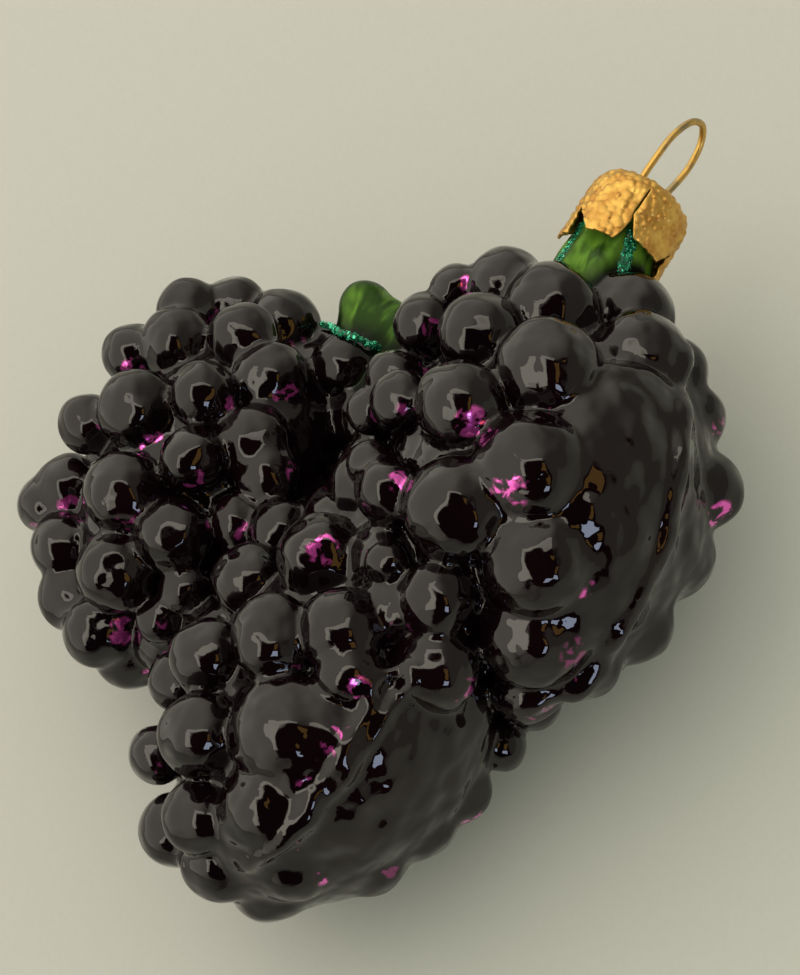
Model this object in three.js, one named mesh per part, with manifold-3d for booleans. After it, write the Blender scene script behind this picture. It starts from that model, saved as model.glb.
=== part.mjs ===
// Blown glass tree ornament: three bramble berries joined under one fluted stem,
// with a stamped metal cap and a wire hanging loop.
// Millimetres. x runs across the mould, y runs up the neck, z points out of the front half of the mould.
import * as THREE from 'three';
import { mergeVertices } from 'three/addons/utils/BufferGeometryUtils.js';
import Module from 'manifold-3d';

const wasm = await Module();
wasm.setup();

// ---- driving dimensions ----
const WALL = 1.0;              // glass thickness
const CREVICE = 3.0;           // depth of the gaps between drupelets
const SHELL_DETAIL = 7;        // edge divisions of the icosahedron behind each berry shell
const GLUE_GAP = 0.2;          // clearance between the glass and the glitter on it
const GLITTER_THICKNESS = 0.35;

const NECK = { x: 13, z: 3.1, rim: 40.5, bore: 3.2, boreFoot: 20 };
const STEM_PROFILE = [         // radius and height of the stem, from inside the berry up to the neck's rim
  [6.2, 29], [5.2, 32.6], [4.7, 34], [4.35, 35.2], [4.1, 36.4], [3.9, 38], [3.85, NECK.rim],
];
const FLUTES = { count: 8, depth: 0.22, fadeHeight: 38 };
const STRIPE = { turns: [45, 135, -135, -45], width: 1.2, bottom: 32.4, top: 37.2 };

const CAP = {                  // the cap sits a little crooked: turned about the neck and tilted over to one side
  turn: -4, tilt: 14, tiltTowards: 116, pivot: 36.3, thickness: 0.4, tip: 35.6, slitTop: 41.9, slitWidth: 0.3,
  notchTop: 37.9, notchWidth: 3.4, holeRadius: 0.8, slitTurns: [30, 102, 174, 246, 318],
  profile: [[5.65, 35.6], [5.45, 40.6], [5.3, 41.8], [4.7, 42.9], [3.5, 43.6], [0, 43.75]],
};
const WIRE = {
  radius: 0.4, aside: -0.4, spread: 2.35, neckSpread: 1.8, loopHeight: 9.5, loopSpread: 2.9, lean: 0.08,
  bend: 27, foot: 23, footSpread: 4.8,
};

// Each drupelet is [turn about the berry, rise towards its top, radius, optional lift], in degrees and mm.
const GOLDEN_ANGLE = 180 * (3 - Math.sqrt(5));
const BERRIES = {
  right: {
    centre: [13.6, 9.2, 3.1], semi: [19.4, 23.8, 20], lean: 0, backCount: 104, backRadius: 4.2,
    drupelets: [
      [-56, 44, 2.6, 2.4], [-44, 56, 4, 1.4], [-16, 69, 4.6], [65, 72, 4.4], [-60, 32, 3.3, 2],
      [-25, 32, 4.3], [14, 25, 5.6], [60, 49, 4.6], [-46, 9, 3.7], [-61, 6, 2.7], [-12, 6, 4.6],
      [-42, -13, 2.6], [22, -6, 5.9], [-32, -20, 3.5], [-2, -23, 5.4], [39, -30, 5.7], [-26, -39, 2.1],
      [-3, -49, 3.8], [-20, -77, 4], [62, -54, 5.6], [93, 50, 3.5], [101, 36, 3.3], [105, 17, 4.1, 1],
      [110, -3, 4.5], [108, -26, 4.3], [100, -46, 4.1], [105, -66, 3.9], [45, 25, 5.5], [55, 5, 7],
      [62, -14, 6.5], [78, 30, 5], [82, 8, 5], [80, -30, 5],
    ],
  },
  left: {
    centre: [-23.4, 3.4, -1], semi: [15.6, 22.8, 16], lean: -8, backCount: 96, backRadius: 3.8,
    drupelets: [
      [-62, 52, 3.3, 1.2], [-40, 64, 3.3, 1], [10, 76, 4], [-56, 27, 3.3, 0.8], [-42, 37, 3.8],
      [7, 46, 3.9], [43, 39, 5.5], [68, 34, 5.2], [103, 61, 3.5], [-56, 1, 3.3], [-23, 7, 4.4],
      [11, 18, 3.6], [45, 12, 4.3], [72, 17, 4.4], [-60, -17, 3.6, 0.6], [-80, -17, 3.3], [-4, -18, 4.5],
      [23, -1, 3.4], [-64, -38, 3.7], [8, -43, 4.5], [32, -23, 4.1], [55, -10, 3], [84, 4, 3.8],
      [52, -35, 2.7], [51, -48, 2.4], [-66, -57, 3.7], [-15, -76, 4], [150, -78, 4],
    ],
  },
  bottom: {
    centre: [1, -14.8, 0.9], semi: [17.8, 24.3, 17.9], lean: -17, backCount: 106, backRadius: 4,
    drupelets: [
      [-59, 10, 3.9], [-23, 26, 4.6], [13, 11, 4.7], [-11, 0, 4.4], [-38, -13, 4], [-60, -22, 3.1],
      [-16, -30, 4.3], [17, -20, 6.2], [32, -43, 4.4], [-64, -43, 3.1, 0.5], [-7, -58, 3.8],
      [-66, -68, 3.9, 0.8], [31, -78, 4.4], [118, -66, 4.3], [74, -39, 4.1], [112, -32, 4],
      [110, -15, 4.1], [113, -2, 3.7, 0.4], [112, 13, 2.7, 1], [108, 26, 3.3, 2.8],
      [62, -8, 8], [60, 10, 8], [75, -22, 7], [50, -30, 4.5],
    ],
  },
  middle: {                    // the short web of glass between the left and the right berry
    centre: [-8, 6, -1], semi: [13.5, 17.5, 12], lean: 0, backCount: 46, backRadius: 3.6, drupelets: [],
    detail: 4,
  },
};

const STUMP = [                // rounded green stump and the branch that joins it to the right berry
  { from: [-11.9, 26.2, 0.1], fromRadius: 3.3, to: [-7, 17, 0], toRadius: 4.6 },
  { from: [-11.3, 25.2, 0.1], fromRadius: 2.6, to: [2, 19.5, 0.3], toRadius: 3.4 },
];
const KNOB_LINE = [[-16, 22.6, 3.6], [-13.6, 21.6, 5.2], [-10.8, 20.6, 6.3], [-8, 19.4, 6.9], [-5.6, 18.6, 7.6]];

// ---- solids ----
function toSolid(geometry) {
  geometry.deleteAttribute('normal');
  geometry.deleteAttribute('uv');
  const merged = mergeVertices(geometry, 1e-4);
  const triangles = [];
  for (let i = 0; i < merged.index.count; i += 3) {
    const [a, b, c] = [0, 1, 2].map((k) => merged.index.getX(i + k));
    if (a !== b && b !== c && c !== a) triangles.push(a, b, c);
  }
  return new wasm.Manifold(new wasm.Mesh({
    numProp: 3,
    vertProperties: new Float32Array(merged.attributes.position.array),
    triVerts: new Uint32Array(triangles),
  }));
}

function toMesh(solid, name, color, roughness, metalness) {
  const data = solid.getMesh();
  const geometry = new THREE.BufferGeometry();
  geometry.setAttribute('position', new THREE.BufferAttribute(data.vertProperties, 3));
  geometry.setIndex(new THREE.BufferAttribute(data.triVerts, 1));
  geometry.computeVertexNormals();
  const mesh = new THREE.Mesh(geometry, new THREE.MeshStandardMaterial({ color, roughness, metalness }));
  mesh.name = name;
  return mesh;
}

function union(solids) {
  return solids.reduce((whole, solid) => whole.add(solid));
}

// ---- berries ----
function directionOf(turn, rise) {
  const [t, u] = [turn, rise].map(THREE.MathUtils.degToRad);
  return new THREE.Vector3(Math.sin(t) * Math.cos(u), Math.sin(u), Math.cos(t) * Math.cos(u));
}

// A drupelet is a ball that touches the berry's outer ellipsoid from inside; lift pushes it out.
function drupeletBall(semi, [turn, rise, radius, lift = 0]) {
  const onUnit = directionOf(turn, rise);
  const normal = onUnit.clone().divide(semi).normalize();
  return { centre: onUnit.multiply(semi).addScaledVector(normal, lift - radius), radius };
}

// The charted drupelets come first; the rest of the berry is filled along a spiral that keeps clear of them.
function berryBalls({ semi, drupelets, backCount, backRadius }) {
  const axes = new THREE.Vector3(...semi);
  const charted = drupelets.map((row) => drupeletBall(axes, row));
  const balls = [...charted];
  for (let i = 0; i < backCount; i += 1) {
    const rise = THREE.MathUtils.radToDeg(Math.asin(1 - (2 * i + 1) / backCount));
    const radius = backRadius * (1 + 0.08 * Math.sin(4 * i));
    const ball = drupeletBall(axes, [i * GOLDEN_ANGLE, rise, radius]);
    const crowded = charted.some((other) =>
      ball.centre.distanceTo(other.centre) < 0.75 * (radius + Math.min(other.radius, 6)));
    if (!crowded) balls.push(ball);
  }
  return balls;
}

// How far the berry reaches along a direction from its centre, with its wall taken off by inset.
function reach(direction, semi, balls, inset) {
  const core = semi.map((side) => side - CREVICE - inset);
  let far = 1 / direction.clone().divide(new THREE.Vector3(...core)).length();
  for (const { centre, radius } of balls) {
    const along = direction.dot(centre);
    const inside = (radius - inset) ** 2 - centre.lengthSq() + along * along;
    if (inside > 0) far = Math.max(far, along + Math.sqrt(inside));
  }
  return far;
}

function berrySolid(berry, inset) {
  const balls = berryBalls(berry);
  const geometry = new THREE.IcosahedronGeometry(1, berry.detail ?? SHELL_DETAIL);
  const points = geometry.attributes.position;
  const direction = new THREE.Vector3();
  for (let i = 0; i < points.count; i += 1) {
    direction.fromBufferAttribute(points, i).normalize();
    const distance = reach(direction, berry.semi, balls, inset);
    points.setXYZ(i, ...direction.multiplyScalar(distance).toArray());
  }
  geometry.rotateZ(THREE.MathUtils.degToRad(berry.lean));
  geometry.translate(...berry.centre);
  return toSolid(geometry);
}

// ---- stem and stump ----
function fluteFactor(turn, height) {
  const fade = THREE.MathUtils.smoothstep(FLUTES.fadeHeight - height, 0, 2.5);
  return FLUTES.depth * fade * Math.cos(FLUTES.count * turn);
}

function stemSolid(offset) {
  const foot = new THREE.Vector2(0, STEM_PROFILE[0][1]);
  const top = new THREE.Vector2(0, NECK.rim);
  const side = STEM_PROFILE.map(([radius, height]) => new THREE.Vector2(radius + offset, height));
  const geometry = new THREE.LatheGeometry([foot, ...side, top], 32);
  const points = geometry.attributes.position;
  for (let i = 0; i < points.count; i += 1) {
    const [x, y, z] = [points.getX(i), points.getY(i), points.getZ(i)];
    const radius = Math.hypot(x, z);
    if (radius < 0.01) continue;
    const scale = (radius - fluteFactor(Math.atan2(x, z), y)) / radius;
    points.setXYZ(i, x * scale, y, z * scale);
  }
  geometry.translate(NECK.x, 0, NECK.z);
  return toSolid(geometry);
}

// A round-ended bar that may taper from one end to the other.
function taperedBar({ from, fromRadius, to, toRadius }, inset) {
  const [start, end] = [from, to].map((point) => new THREE.Vector3(...point));
  const length = start.distanceTo(end);
  const profile = [];
  const [low, high] = [fromRadius - inset, toRadius - inset];
  for (let i = 0; i <= 4; i += 1) {
    const angle = (i / 4) * Math.PI / 2;
    profile.push(new THREE.Vector2(low * Math.sin(angle), -low * Math.cos(angle)));
  }
  for (let i = 0; i <= 4; i += 1) {
    const angle = (i / 4) * Math.PI / 2;
    profile.push(new THREE.Vector2(high * Math.cos(angle), length + high * Math.sin(angle)));
  }
  profile[0].x = 0;
  profile[profile.length - 1].x = 0;
  const geometry = new THREE.LatheGeometry(profile, 16);
  const up = new THREE.Vector3(0, 1, 0);
  geometry.applyQuaternion(new THREE.Quaternion().setFromUnitVectors(up, end.clone().sub(start).normalize()));
  geometry.translate(...from);
  return toSolid(geometry);
}

function glassSolid() {
  const berries = Object.values(BERRIES);
  const outside = union([
    ...berries.map((berry) => berrySolid(berry, 0)), stemSolid(0), ...STUMP.map((bar) => taperedBar(bar, 0)),
  ]);
  const hollow = union([
    ...berries.map((berry) => berrySolid(berry, WALL)), ...STUMP.map((bar) => taperedBar(bar, WALL)),
  ]);
  const boreLength = NECK.rim + 1 - NECK.boreFoot;
  const bore = new THREE.CylinderGeometry(NECK.bore, NECK.bore, boreLength, 24);
  bore.translate(NECK.x, NECK.boreFoot + boreLength / 2, NECK.z);
  return outside.subtract(hollow).subtract(toSolid(bore));
}

// ---- glitter ----
function stripeSolid(turn) {
  const sheet = stemSolid(GLUE_GAP + GLITTER_THICKNESS).subtract(stemSolid(GLUE_GAP));
  const height = STRIPE.top - STRIPE.bottom;
  const slab = new THREE.BoxGeometry(STRIPE.width, height, 8);
  slab.translate(0, STRIPE.bottom + height / 2, 4);
  slab.rotateY(THREE.MathUtils.degToRad(turn));
  slab.translate(NECK.x, 0, NECK.z);
  return sheet.intersect(toSolid(slab));
}

function tubeSolid(points, radius, steps, sides) {
  const section = new THREE.Shape();
  for (let i = 0; i < sides; i += 1) {
    const angle = (i / sides) * 2 * Math.PI;
    const corner = [radius * Math.cos(angle), radius * Math.sin(angle)];
    if (i === 0) section.moveTo(...corner); else section.lineTo(...corner);
  }
  const path = new THREE.CatmullRomCurve3(points.map((point) => new THREE.Vector3(...point)));
  return toSolid(new THREE.ExtrudeGeometry(section, { steps, extrudePath: path, bevelEnabled: false }));
}

// ---- cap and wire, built about the neck's axis ----
function seatOnNeck(solid) {
  const towards = directionOf(CAP.tiltTowards, 0);
  const axis = new THREE.Vector3(0, 1, 0).cross(towards);
  const seat = new THREE.Matrix4().makeTranslation(NECK.x, CAP.pivot, NECK.z)
    .multiply(new THREE.Matrix4().makeRotationAxis(axis, THREE.MathUtils.degToRad(CAP.tilt)))
    .multiply(new THREE.Matrix4().makeRotationY(THREE.MathUtils.degToRad(CAP.turn)))
    .multiply(new THREE.Matrix4().makeTranslation(0, -CAP.pivot, 0));
  return solid.transform(seat.elements);
}

function slitCut(turn) {
  const [slit, notch] = [CAP.slitWidth / 2, CAP.notchWidth / 2];
  const right = [[notch, CAP.tip - 0.2], [notch * 0.45, CAP.tip + 0.7], [slit, CAP.notchTop], [slit, CAP.slitTop]];
  const left = [...right].reverse().map(([x, y]) => [-x, y]);
  const outline = new THREE.Shape([...right, ...left].map(([x, y]) => new THREE.Vector2(x, y)));
  const cut = new THREE.ExtrudeGeometry(outline, { depth: 6, bevelEnabled: false });
  cut.translate(0, 0, 2);
  cut.rotateY(THREE.MathUtils.degToRad(turn));
  return toSolid(cut);
}

function wireHole(side) {
  const hole = new THREE.CylinderGeometry(CAP.holeRadius, CAP.holeRadius, 4, 16);
  hole.translate(WIRE.aside, CAP.profile.at(-1)[1], side * WIRE.spread);
  return toSolid(hole);
}

function capSolid() {
  const inner = [...CAP.profile].reverse().map(([radius, height], i) =>
    [Math.max(radius - CAP.thickness, 0), i < 3 ? height - CAP.thickness : height]);
  const profile = [...inner, ...CAP.profile].map(([radius, height]) => new THREE.Vector2(radius, height));
  const cuts = [...CAP.slitTurns.map(slitCut), wireHole(-1), wireHole(1)];
  return seatOnNeck(toSolid(new THREE.LatheGeometry(profile, 40)).subtract(union(cuts)));
}

function wireSolid() {
  const crown = CAP.profile.at(-1)[1] - CAP.thickness;
  const { spread, neckSpread, loopHeight, loopSpread } = WIRE;
  const half = [                // one leg from its foot up to the loop: height and sideways place
    [WIRE.foot, WIRE.footSpread], [WIRE.bend, neckSpread + 0.3], [WIRE.bend + 3, neckSpread], [38, neckSpread],
    [crown, spread], [crown + 0.3 * loopHeight, loopSpread - 0.1],
    [crown + 0.62 * loopHeight, loopSpread], [crown + 0.9 * loopHeight, 0.62 * loopSpread],
  ];
  const upright = Math.tan(THREE.MathUtils.degToRad(CAP.tilt));
  const leanAt = (height) =>
    WIRE.aside + WIRE.lean * Math.max(height - crown, 0) + upright * Math.max(CAP.pivot - height, 0);
  const oneLeg = half.map(([height, side]) => [leanAt(height), height, -side]);
  const top = [leanAt(crown + loopHeight), crown + loopHeight, 0];
  const otherLeg = [...oneLeg].reverse().map(([x, height, side]) => [x, height, -side]);
  return seatOnNeck(tubeSolid([...oneLeg, top, ...otherLeg], WIRE.radius, 56, 8));
}

// ---- assembly ----
const ornament = new THREE.Group();
ornament.add(toMesh(glassSolid(), 'glass_body', '#1a1114', 0.08, 0.3));
ornament.add(toMesh(capSolid(), 'cap', '#c8963e', 0.35, 0.95));
ornament.add(toMesh(wireSolid(), 'hanger_wire', '#c09a4a', 0.3, 0.95));
STRIPE.turns.forEach((turn, i) => {
  ornament.add(toMesh(stripeSolid(turn), `glitter_stripe_${i + 1}`, '#1fa070', 0.4, 0.6));
});
ornament.add(toMesh(tubeSolid(KNOB_LINE, 0.35, 10, 8), 'glitter_knob_line', '#1fa070', 0.4, 0.6));

// The origin is under the middle of the ornament as it lies on its back.
const box = new THREE.Box3().setFromObject(ornament);
const middle = box.getCenter(new THREE.Vector3());
ornament.position.set(-middle.x, -middle.y, -box.min.z);

export default ornament;
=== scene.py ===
"""The looks of a blown glass bramble ornament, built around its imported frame.

The ornament is one hollow glass shell (three berries, a fluted green stem and a rounded green stump),
a stamped foil cap, a spring wire that ends in a hanging loop, and lines of glitter set in glue.
Shapes are worked out in the mould's own millimetres: x across the mould, y up the neck, z out of its
front. The neck ties them to the frame.
"""

from __future__ import annotations

import logging
import math
from dataclasses import dataclass, field
from enum import Enum
from functools import partial
from typing import Callable, Iterable, Sequence

import bmesh
import bpy
import numpy as np
from bpy.types import Material, Node, NodeSocket, NodeTree, Object
from mathutils import Matrix, Vector


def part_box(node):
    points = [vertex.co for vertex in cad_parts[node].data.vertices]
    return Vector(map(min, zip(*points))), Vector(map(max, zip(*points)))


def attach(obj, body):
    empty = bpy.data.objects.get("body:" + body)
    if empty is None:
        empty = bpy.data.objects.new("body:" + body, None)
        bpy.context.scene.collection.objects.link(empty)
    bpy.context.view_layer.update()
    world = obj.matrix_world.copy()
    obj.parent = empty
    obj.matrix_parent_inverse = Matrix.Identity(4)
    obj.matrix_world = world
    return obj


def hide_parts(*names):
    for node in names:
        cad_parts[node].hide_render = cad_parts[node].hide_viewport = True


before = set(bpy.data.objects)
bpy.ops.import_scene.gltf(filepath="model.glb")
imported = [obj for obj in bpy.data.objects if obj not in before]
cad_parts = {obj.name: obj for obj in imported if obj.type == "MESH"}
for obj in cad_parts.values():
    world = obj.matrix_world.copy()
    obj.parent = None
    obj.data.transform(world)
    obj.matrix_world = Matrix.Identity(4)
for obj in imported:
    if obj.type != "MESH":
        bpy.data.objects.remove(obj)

LOG = logging.getLogger("ornament")
MM = 0.001  # one millimetre in the frame's metres
GOLDEN_ANGLE = 180.0 * (3.0 - math.sqrt(5.0))

Pair = tuple[float, float]
Triple = tuple[float, float, float]
Marks = tuple[Pair, ...]


# ---- small tools ----
def linear(hex_colour: str) -> tuple[float, float, float, float]:
    """Turns an sRGB hex colour into linear values.

    Args:
        hex_colour: Six hex digits with a leading #.

    Returns:
        Red, green, blue and a full alpha, from 0 to 1.
    """
    parts = [int(hex_colour[i:i + 2], 16) / 255.0 for i in (1, 3, 5)]
    red, green, blue = [c / 12.92 if c <= 0.04045 else ((c + 0.055) / 1.055) ** 2.4 for c in parts]
    return red, green, blue, 1.0


def feed(socket: NodeSocket, value: object) -> None:
    """Gives a node's input what it works with.

    Args:
        socket: The input.
        value: A value, a hex colour, an output to link, or a node whose first live output is linked.
    """
    if isinstance(value, Node):
        value = next(output for output in value.outputs if output.enabled)
    if isinstance(value, NodeSocket):
        socket.id_data.links.new(value, socket)
    elif isinstance(value, str) and value.startswith("#"):
        socket.default_value = linear(value)
    else:
        socket.default_value = value


def add_node(tree: NodeTree, kind: str, inputs: dict[int | str, object] | None = None,
             **settings: object) -> Node:
    """Adds one node with its settings, values and links.

    Args:
        tree: The node tree that gets the node.
        kind: Blender's name of the node's type.
        inputs: Name or number of each input that is fed, with what it gets.
        **settings: Properties of the node itself.

    Returns:
        The new node.
    """
    node = tree.nodes.new(kind)
    for name, value in settings.items():
        setattr(node, name, value)
    for key, value in (inputs or {}).items():
        feed(node.inputs[key], value)
    return node


def direction_of(turn: float, rise: float) -> np.ndarray:
    """Gives the unit direction at a turn about the neck's axis and a rise above its equator, in degrees."""
    t, u = math.radians(turn), math.radians(rise)
    return np.array([math.sin(t) * math.cos(u), math.sin(u), math.cos(t) * math.cos(u)])


def smooth(values: np.ndarray, low: float, high: float) -> np.ndarray:
    """Rises smoothly from 0 at low to 1 at high."""
    t = np.clip((values - low) / (high - low), 0.0, 1.0)
    return t * t * (3.0 - 2.0 * t)


def mesh_object(name: str, points: np.ndarray, faces: Sequence[Sequence[int]],
                material: Material | None = None) -> Object:
    """Makes a smooth shaded mesh object at the origin.

    Args:
        name: Name of the object and of its mesh.
        points: Vertex places in metres, one row each.
        faces: Vertex numbers of each face.
        material: Finish of the whole piece.

    Returns:
        The new object, linked into the scene.
    """
    mesh = bpy.data.meshes.new(name)
    mesh.from_pydata(np.asarray(points).tolist(), [], np.asarray(faces).tolist())
    mesh.update()
    mesh.shade_smooth()
    if material is not None:
        mesh.materials.append(material)
    piece = bpy.data.objects.new(name, mesh)
    bpy.context.scene.collection.objects.link(piece)
    return piece


def put_attribute(piece: Object, name: str, values: np.ndarray) -> None:
    """Stores one number a vertex on a piece, for its finish to read."""
    layer = piece.data.attributes.new(name, "FLOAT", "POINT")
    layer.data.foreach_set("value", np.asarray(values, np.float32))


def mount(piece: Object, slot: str, *nodes: str) -> Object:
    """Ties a finished piece to the frame.

    Args:
        piece: The piece, with its mesh in place.
        slot: The record's material slot that it is finished as; not used.
        *nodes: The frame's nodes that it stands for.

    Returns:
        The same piece.
    """
    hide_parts(*nodes)
    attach(piece, "root")
    return piece


def bake(piece: Object) -> Object:
    """Turns a piece's modifiers into plain mesh and takes them off.

    Args:
        piece: The piece.

    Returns:
        The same piece.
    """
    graph = bpy.context.evaluated_depsgraph_get()
    graph.update()
    plain = bpy.data.meshes.new_from_object(
        piece.evaluated_get(graph), preserve_all_data_layers=True, depsgraph=graph)
    piece.modifiers.clear()
    old, piece.data = piece.data, plain
    plain.name = piece.name
    bpy.data.meshes.remove(old)
    return piece


@dataclass(frozen=True)
class Mould:
    """Ties the mould's millimetres to the frame by the middle of the neck's rim."""

    neck_x: float = 13.0
    neck_z: float = 3.1
    rim: float = 40.5
    stripes: int = 4  # they stand evenly round the neck

    def shift(self) -> np.ndarray:
        """Works out how the mould lies in the frame.

        Returns:
            What is added to a place in the mould, in millimetres, to reach the frame.
        """
        names = [f"glitter_stripe_{number + 1}" for number in range(self.stripes)]
        corners = [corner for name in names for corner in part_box(name)]
        middle = sum(corners, Vector()) / len(corners) / MM
        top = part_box("glass_body")[1].y / MM
        return np.array([middle.x - self.neck_x, top - self.rim, middle.z - self.neck_z])

    def to_frame(self, points: np.ndarray) -> np.ndarray:
        """Moves places in the mould into the frame, in metres."""
        return (np.asarray(points) + self.shift()) * MM


MOULD = Mould()


# ---- the glass, as a smooth join of simple bodies ----
class Paint(Enum):
    """Which lacquer a body of glass is sprayed with."""

    PLUM = "plum"
    LEAF = "leaf"


@dataclass(frozen=True)
class Ball:
    """One drupelet."""

    centre: np.ndarray
    radius: float
    paint: Paint = Paint.PLUM

    def box(self) -> tuple[np.ndarray, np.ndarray]:
        """Gives the lowest and highest corner."""
        return self.centre - self.radius, self.centre + self.radius

    def distance(self, points: np.ndarray) -> np.ndarray:
        """Gives how far each point is outside the ball."""
        return np.linalg.norm(points - self.centre, axis=1) - self.radius


@dataclass(frozen=True)
class Core:
    """An egg shaped body: the one behind a berry's drupelets, or a flat one that makes a smooth cheek."""

    centre: np.ndarray
    semi: np.ndarray
    turned: np.ndarray  # puts the egg's own axes into the mould
    paint: Paint = Paint.PLUM

    def box(self) -> tuple[np.ndarray, np.ndarray]:
        """Gives a lowest and highest corner that hold the core at any lean."""
        side = np.full(3, self.semi.max())
        return self.centre - side, self.centre + side

    def distance(self, points: np.ndarray) -> np.ndarray:
        """Measures points against the egg.

        Args:
            points: Places in the mould, one row each.

        Returns:
            About how far each point is outside the egg.
        """
        local = (points - self.centre) @ self.turned
        scaled = np.linalg.norm(local / self.semi, axis=1)
        slope = np.linalg.norm(local / self.semi**2, axis=1)
        return scaled * (scaled - 1.0) / np.maximum(slope, 1e-6)


@dataclass(frozen=True)
class Bar:
    """A round ended bar that may taper from one end to the other."""

    start: np.ndarray
    end: np.ndarray
    start_radius: float
    end_radius: float
    paint: Paint = Paint.LEAF

    def box(self) -> tuple[np.ndarray, np.ndarray]:
        """Gives the lowest and highest corner."""
        wide = max(self.start_radius, self.end_radius)
        return np.minimum(self.start, self.end) - wide, np.maximum(self.start, self.end) + wide

    def distance(self, points: np.ndarray) -> np.ndarray:
        """Measures points against the bar.

        Args:
            points: Places in the mould, one row each.

        Returns:
            How far each point is outside the bar.
        """
        along = self.end - self.start
        share = np.clip((points - self.start) @ along / (along @ along), 0.0, 1.0)
        nearest = self.start + share[:, None] * along
        radius = self.start_radius + share * (self.end_radius - self.start_radius)
        return np.linalg.norm(points - nearest, axis=1) - radius


@dataclass(frozen=True)
class Stem:
    """The fluted stem that narrows into the neck, turned about the neck's axis."""

    profile: Marks = (
        (5.4, 29.0), (5.1, 32.6), (4.7, 34.0), (4.35, 35.2), (4.1, 36.4), (3.9, 38.0), (3.85, 40.5),
    )
    flutes: int = 8
    flute_depth: float = 0.26
    flute_fade: Pair = (35.5, 38.0)
    paint: Paint = Paint.LEAF

    def box(self) -> tuple[np.ndarray, np.ndarray]:
        """Boxes the stem in.

        Returns:
            The lowest and highest corner.
        """
        wide = self.profile[0][0]
        return (np.array([MOULD.neck_x - wide, self.profile[0][1], MOULD.neck_z - wide]),
                np.array([MOULD.neck_x + wide, MOULD.rim, MOULD.neck_z + wide]))

    def radius_at(self, turn: np.ndarray, height: np.ndarray) -> np.ndarray:
        """Measures the fluted stem.

        Args:
            turn: Turns about its axis, in radians.
            height: Heights up the neck.

        Returns:
            The outer radius at each.
        """
        radii, heights = np.array(self.profile).T
        fade = 1.0 - smooth(height, *self.flute_fade)
        wave = np.cos(self.flutes * turn)
        return np.interp(height, heights, radii) - self.flute_depth * fade * wave

    def distance(self, points: np.ndarray) -> np.ndarray:
        """Measures points against the stem.

        Args:
            points: Places in the mould, one row each.

        Returns:
            About how far each point is outside the stem.
        """
        x, y, z = (points - [MOULD.neck_x, 0.0, MOULD.neck_z]).T
        side = np.hypot(x, z) - self.radius_at(np.arctan2(x, z), y)
        return np.maximum.reduce([side, y - MOULD.rim, self.profile[0][1] - y])


def turn_matrix(degrees: float) -> np.ndarray:
    """Gives the matrix that, put after a row of points, undoes a turn about the mould's z."""
    c, s = math.cos(math.radians(degrees)), math.sin(math.radians(degrees))
    return np.array([[c, -s, 0.0], [s, c, 0.0], [0.0, 0.0, 1.0]])


def face_matrix(normal: np.ndarray) -> np.ndarray:
    """Turns a body to face along a normal, with its second axis as near to y as it can be.

    Args:
        normal: The unit direction that it faces.

    Returns:
        The body's axes, one a column.
    """
    across = np.cross([0.0, 1.0, 0.0], normal)
    across /= np.linalg.norm(across)
    return np.stack([across, np.cross(normal, across), normal], axis=1)


Body = Ball | Core | Bar | Stem
Row = tuple[float, ...]  # turn, rise, radius and, where a drupelet stands proud, its lift
Cheek = tuple[float, ...]  # turn, rise, half width, half height, depth and how far it's sunk


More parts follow.
